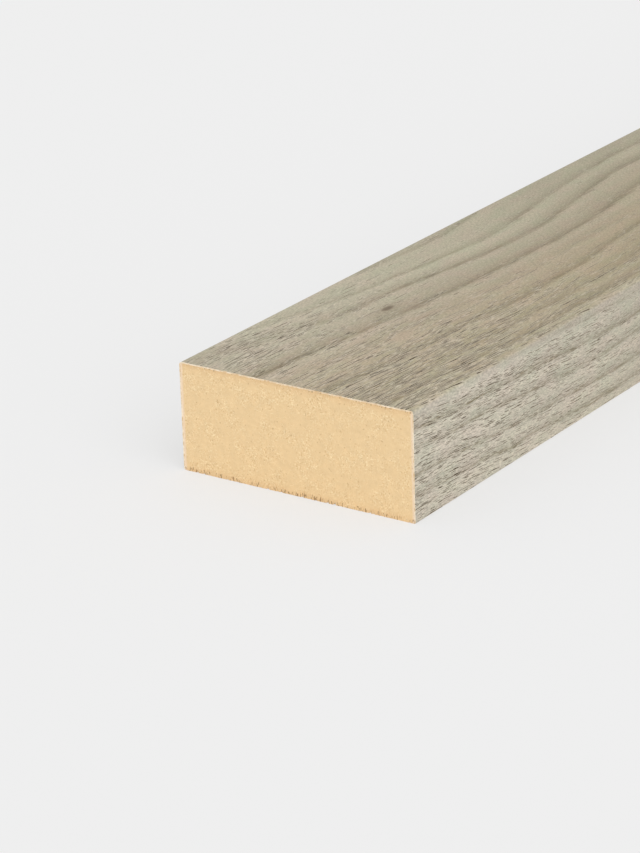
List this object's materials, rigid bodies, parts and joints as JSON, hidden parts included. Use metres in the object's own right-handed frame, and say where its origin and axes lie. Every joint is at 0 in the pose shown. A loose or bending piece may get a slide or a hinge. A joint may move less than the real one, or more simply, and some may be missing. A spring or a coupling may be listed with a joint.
{
  "type": "edge trim strip",
  "caption": "Straight rectangular MDF edge trim with a grey-beige wood-decor foil folded over its face and long edges, and raw square-sawn ends.",
  "frame": {"origin": "middle of the raw back face, on the floor", "axes": "+X across the width, +Y along the length, +Z out of the decor face"},
  "size_m": [0.05, 2.4, 0.021],
  "materials": {
    "mdf_core": "matte",
    "decor_wrap": "matte"
  },
  "bodies": {
    "root": {"mdf_core": "mdf_core", "decor_wrap": "decor_wrap"}
  },
  "joints": []
}
